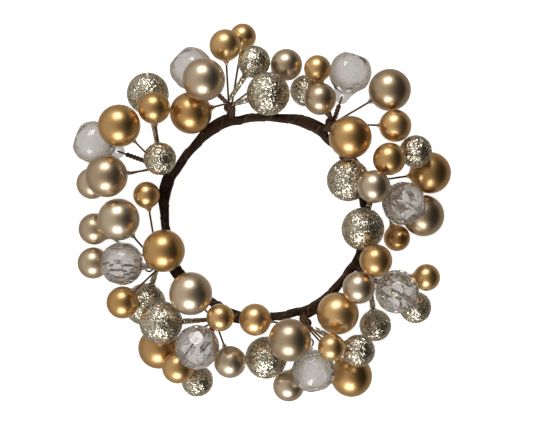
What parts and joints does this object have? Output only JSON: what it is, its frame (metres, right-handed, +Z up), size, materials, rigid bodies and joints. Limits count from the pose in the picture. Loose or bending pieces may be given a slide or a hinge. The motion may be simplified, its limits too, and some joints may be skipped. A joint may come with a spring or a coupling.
{
  "type": "candle ring",
  "caption": "Tape-wrapped wire hoop with sprays of satin, pearl and glitter berries and swinging faceted drops on bent stems, laid round the foot of a pillar candle.",
  "frame": {"origin": "middle of the hoop, on the table plane that the lowest berries and drops rest on", "axes": "+Z up through the candle opening, +X to the right and +Y to the top of the view from above"},
  "size_m": [0.2266, 0.2277, 0.0574],
  "materials": {
    "hoop_steel": "bare drawn wire",
    "brown_tape": "waxed paper tape",
    "brown_wire": "paper-covered wire",
    "gold_satin": "satin metallic",
    "champagne_pearl": "satin pearl",
    "silver_glitter": "coarse glitter",
    "clear_acrylic": "polished facets"
  },
  "bodies": {
    "ring": {"hoop_wire": "hoop_steel", "hoop_wrap": "brown_tape", "spray_1_binding": "brown_tape", "spray_1_champagne_berries": "champagne_pearl", "spray_1_crystal_wire": "brown_wire", "spray_1_glitter_berries": "silver_glitter", "spray_1_gold_berries": "gold_satin", "spray_1_stems": "brown_wire", "spray_2_binding": "brown_tape", "spray_2_champagne_berries": "champagne_pearl", "spray_2_crystal_wire": "brown_wire", "spray_2_glitter_berries": "silver_glitter", "spray_2_gold_berries": "gold_satin", "spray_2_stems": "brown_wire", "spray_3_binding": "brown_tape", "spray_3_champagne_berries": "champagne_pearl", "spray_3_crystal_wire": "brown_wire", "spray_3_glitter_berries": "silver_glitter", "spray_3_gold_berries": "gold_satin", "spray_3_stems": "brown_wire", "spray_4_binding": "brown_tape", "spray_4_champagne_berries": "champagne_pearl", "spray_4_crystal_wire": "brown_wire", "spray_4_glitter_berries": "silver_glitter", "spray_4_gold_berries": "gold_satin", "spray_4_stems": "brown_wire", "spray_5_binding": "brown_tape", "spray_5_champagne_berries": "champagne_pearl", "spray_5_crystal_wire": "brown_wire", "spray_5_glitter_berries": "silver_glitter", "spray_5_gold_berries": "gold_satin", "spray_5_stems": "brown_wire", "spray_6_binding": "brown_tape", "spray_6_champagne_berries": "champagne_pearl", "spray_6_crystal_wire": "brown_wire", "spray_6_glitter_berries": "silver_glitter", "spray_6_gold_berries": "gold_satin", "spray_6_stems": "brown_wire", "spray_7_binding": "brown_tape", "spray_7_champagne_berries": "champagne_pearl", "spray_7_crystal_wire": "brown_wire", "spray_7_glitter_berries": "silver_glitter", "spray_7_gold_berries": "gold_satin", "spray_7_stems": "brown_wire", "spray_8_binding": "brown_tape", "spray_8_champagne_berries": "champagne_pearl", "spray_8_crystal_wire": "brown_wire", "spray_8_glitter_berries": "silver_glitter", "spray_8_gold_berries": "gold_satin", "spray_8_stems": "brown_wire"},
    "crystal_1": {"spray_1_crystal": "clear_acrylic"},
    "crystal_2": {"spray_2_crystal": "clear_acrylic"},
    "crystal_3": {"spray_3_crystal": "clear_acrylic"},
    "crystal_4": {"spray_4_crystal": "clear_acrylic"},
    "crystal_5": {"spray_5_crystal": "clear_acrylic"},
    "crystal_6": {"spray_6_crystal": "clear_acrylic"},
    "crystal_7": {"spray_7_crystal": "clear_acrylic"},
    "crystal_8": {"spray_8_crystal": "clear_acrylic"}
  },
  "joints": [
    {"name": "crystal_1_swing", "type": "hinge", "parent": "ring", "child": "crystal_1", "pos_m": [0.07257, 0.01483, 0.02308], "axis": [-0.5302, 0.4346, 0.728], "range_deg": [-8, 32]},
    {"name": "crystal_2_swing", "type": "hinge", "parent": "ring", "child": "crystal_2", "pos_m": [0.04616, 0.07219, 0.01312], "axis": [0.0026, 0.0078, 1], "range_deg": [-8, 5]},
    {"name": "crystal_3_swing", "type": "hinge", "parent": "ring", "child": "crystal_3", "pos_m": [-0.03341, 0.07854, 0.01332], "axis": [-0.0152, 0.0145, 0.9998], "range_deg": [-10, 8]},
    {"name": "crystal_4_swing", "type": "hinge", "parent": "ring", "child": "crystal_4", "pos_m": [-0.08842, 0.03949, 0.01309], "axis": [-0.0057, 0.0021, 1], "range_deg": [-12, 5]},
    {"name": "crystal_5_swing", "type": "hinge", "parent": "ring", "child": "crystal_5", "pos_m": [-0.07153, -0.02938, 0.01755], "axis": [0.1419, 0.9899, 0], "range_deg": [0, 6]},
    {"name": "crystal_6_swing", "type": "hinge", "parent": "ring", "child": "crystal_6", "pos_m": [-0.03378, -0.06875, 0.03165], "axis": [0.5452, 0.646, 0.5342], "range_deg": [-4, 24]},
    {"name": "crystal_7_swing", "type": "hinge", "parent": "ring", "child": "crystal_7", "pos_m": [0.02635, -0.0774, 0.01881], "axis": [-0.9854, -0.1705, 0], "range_deg": [-3, 5]},
    {"name": "crystal_8_swing", "type": "hinge", "parent": "ring", "child": "crystal_8", "pos_m": [0.06726, -0.03893, 0.01986], "axis": [-0.7134, -0.0372, 0.6997], "range_deg": [-30, 10]}
  ]
}
